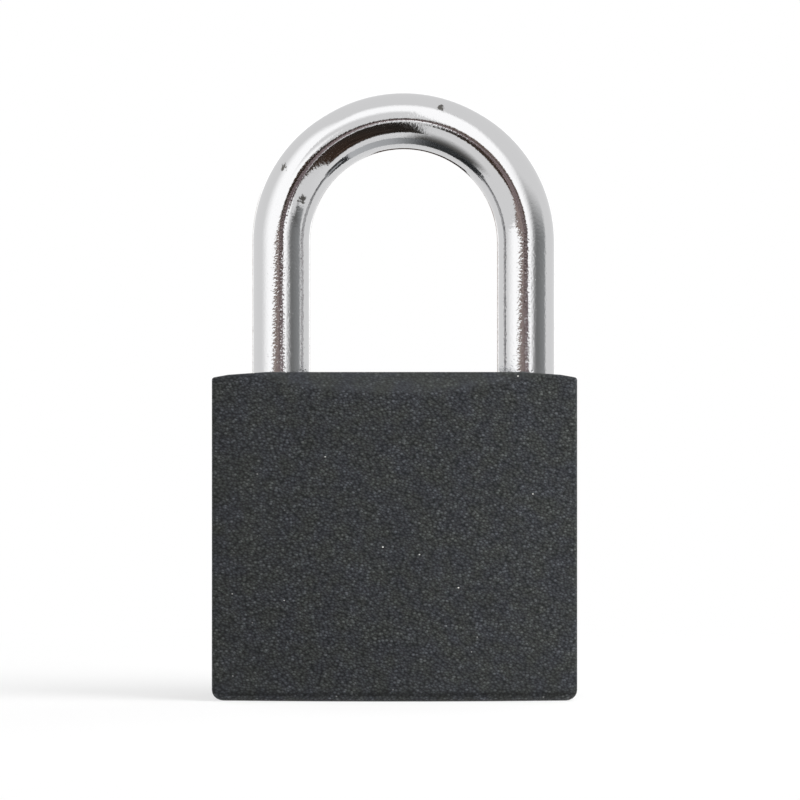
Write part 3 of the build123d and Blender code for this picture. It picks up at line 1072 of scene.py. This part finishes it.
    def hang_cards(self):
        """Hangs what the plate mirrors: reflectors for its bright bands and cloth for its dark ones,
        in front, on the floor and, more simply, behind, with a painted shadow on the floor before the
        lock and a painted reflection of the body's top."""
        bright = (1.6, 1.6, 1.6)
        white = (bright, bright)
        ochre, plum, umber = linear("#A5958B"), linear("#88797D"), linear("#75675F")
        black, brown = linear("#2C2A28"), linear("#4A3A30")
        deep_grey, grey = linear("#555452"), linear("#ADAFB0")
        # Distance, azimuths, elevations, shades, fades and patches of the upright cards
        for card in (
            ("left_reflector", 0.6, (-86, -26), (-20, 52), white, (0.65, 0.02, 0.05, 0.3)),
            ("right_reflector", 0.6, (2, 40), (-8, 52), white, (0.05, 0.4, 0.05, 0.3)),
            ("upper_reflector", 0.6, (-40, 32), (22.4, 60), white, (0.25, 0.2, 0.2, 0.53)),
            ("shoulder_reflector", 0.58, (-42, -8), (-8, 24), white, (0.1, 0.15, 0.05, 0.35)),
            ("right_card", 0.55, (14, 88), (-20, 22), (deep_grey, grey), (0.44, 0.2, 0.05, 0.5)),
            (
                "shoulder_card", 0.48, (6, 15), (-4.2, -0.5), (plum, brown),
                (0.05, 0.2, 0.05, 0.1), 0.03,
            ),
            ("gap_card", 0.45, (-2.2, 1.2), (-4.4, -1.2), white, (0.1, 0.1, 0.05, 0.1)),
            ("back_reflector", 0.6, (150, 212), (-10, 45), white, (0.1, 0.1, 0.1, 0.3)),
            ("back_card", 0.5, (168, 200), (-8, 8), (plum, ochre), (0.02, 0.02, 0.02, 0.1), 0.03),
        ):
            self.upright_card(*card)
        # The same, with the azimuth and elevation of each corner
        for card in (
            (
                "front_card", 0.5, ((-40, -3), (8, -9), (8.5, 3), (-13, 5)),
                (ochre, plum), (0.02, 0.02, 0.02, 0.1), 0.03,
            ),
            (
                "front_dark_card", 0.49, ((-11.5, 3), (8, 1.5), (6, 4), (-12.5, 12.5)),
                (brown, black), (0.02, 0.02, 0.4, 0.05), 0.03,
            ),
            (
                "right_bar", 0.48, ((0.5, 3), (7.5, 3), (5.5, 10.5), (1.5, 9)),
                (umber, umber), (0.05, 0.05, 0.05, 0.1), 0.015,
            ),
        ):
            self.hung_card(*card)
        # The height and corners of the level cards, in metres: dark ones just above the floor, and a
        # pale sheet over the body's top, a painted reflection that lightens what the bow mirrors on
        # its inner side
        low, paper = 0.001, body_high.z + 0.35 * MM
        for card in (
            (
                "low_card", low,
                ((-0.009, -0.036), (0.039, -0.030), (0.10, -0.47), (-0.003, -0.27)),
                (black, brown), (0.05, 0.05, 0.01, 0.02), 0.008,
            ),
            (
                "low_left_card", low,
                ((-0.050, -0.165), (-0.008, -0.165), (-0.02, -0.48), (-0.14, -0.48)),
                (brown, black), (0.02, 0.02, 0.05, 0.02), 0.03,
            ),
            # A painted shadow: a dark sheet that the bow mirrors where the lock's shadow would lie on
            # the floor in front of it
            (
                "painted_floor_shadow_card", low,
                ((-0.045, -0.0075), (0.004, -0.0075), (-0.004, -0.065), (-0.06, -0.065)),
                (deep_grey, deep_grey), (0.3, 0.2, 0.02, 0.9),
            ),
            (
                "low_right_card", low,
                ((0.12, -0.208), (0.123, -0.022), (0.55, -0.097), (0.263, -0.494)),
                (deep_grey, grey), (0.2, 0.2, 0.02, 0.02),
            ),
            (
                "painted_top_reflection", paper,
                ((-0.003, -0.0065), (0.0084, -0.0065), (0.0084, 0.0065), (-0.003, 0.0065)),
                (linear("#A8AAAC"), linear("#D8DADC")), (0.5, 0.05, 0.05, 0.05),
            ),
            (
                "low_back_card", low,
                ((0.015, 0.075), (-0.035, 0.075), (-0.06, 0.40), (0.03, 0.40)),
                (brown, black), (0.05, 0.05, 0.02, 0.1), 0.02,
            ),
        ):
            self.flat_card(*card)

    def place_camera(self, scene, settings):
        """Looks level at the lock from the front, as the photograph does."""
        camera_data = bpy.data.cameras.new("photo_camera")
        camera_data.sensor_width = 36.0
        camera_data.lens = settings.lens
        camera_data.clip_start = 0.01
        camera_data.clip_end = 20.0
        camera = bpy.data.objects.new("photo_camera", camera_data)
        scene.collection.objects.link(camera)
        camera.location = (settings.camera_side, -settings.camera_distance, settings.camera_height)
        camera.rotation_euler = (math.pi / 2, 0.0, 0.0)
        scene.camera = camera

    def execute(self, context):
        settings = context.scene.padlock_stage
        self.lay_floor(settings)
        self.light_world(context.scene, settings)
        # Azimuth, elevation, side and radiance of each lamp
        for lamp in (
            ("right_key", 66, 36, 0.35, 8.6),
            ("top_fill", 15, 62, 0.4, 1.9),
            ("back_right_fill", 140, 20, 0.4, 2.0),
            ("back_left_fill", -140, 20, 0.4, 2.0),
        ):
            self.softbox(*lamp)
        self.hang_cards()
        self.place_camera(context.scene, settings)
        context.scene.view_settings.view_transform = "Standard"
        return {"FINISHED"}


class PADLOCK_PT_panel(bpy.types.Panel):
    """Lists the padlock's pieces and their settings."""

    bl_label = "Padlock"
    bl_idname = "PADLOCK_PT_panel"
    bl_space_type = "VIEW_3D"
    bl_region_type = "UI"
    bl_category = "Padlock"

    def draw(self, context):
        for operator in OPERATORS:
            self.layout.operator(operator.bl_idname)
        for name in SETTINGS:
            group = getattr(context.scene, name)
            box = self.layout.box()
            for key in group.bl_rna.properties.keys():
                if key not in ("rna_type", "name"):
                    box.prop(group, key)


OPERATORS = (
    PADLOCK_OT_body,
    PADLOCK_OT_shackle,
    PADLOCK_OT_springs,
    PADLOCK_OT_lockwork,
    PADLOCK_OT_stage,
)
SETTINGS = {
    "padlock_body": PadlockBodySettings,
    "padlock_shackle": PadlockShackleSettings,
    "padlock_lockwork": PadlockLockworkSettings,
    "padlock_stage": PadlockStageSettings,
}


def register():
    for group in SETTINGS.values():
        bpy.utils.register_class(group)
    for name, group in SETTINGS.items():
        setattr(bpy.types.Scene, name, PointerProperty(type=group))
    for operator in OPERATORS:
        bpy.utils.register_class(operator)
    bpy.utils.register_class(PADLOCK_PT_panel)


def unregister():
    bpy.utils.unregister_class(PADLOCK_PT_panel)
    for operator in reversed(OPERATORS):
        bpy.utils.unregister_class(operator)
    for name, group in SETTINGS.items():
        delattr(bpy.types.Scene, name)
        bpy.utils.unregister_class(group)


def main():
    register()
    bpy.ops.padlock.body()
    bpy.ops.padlock.shackle()
    bpy.ops.padlock.springs()
    bpy.ops.padlock.lockwork()
    bpy.ops.padlock.stage()


if __name__ == "__main__":
    main()
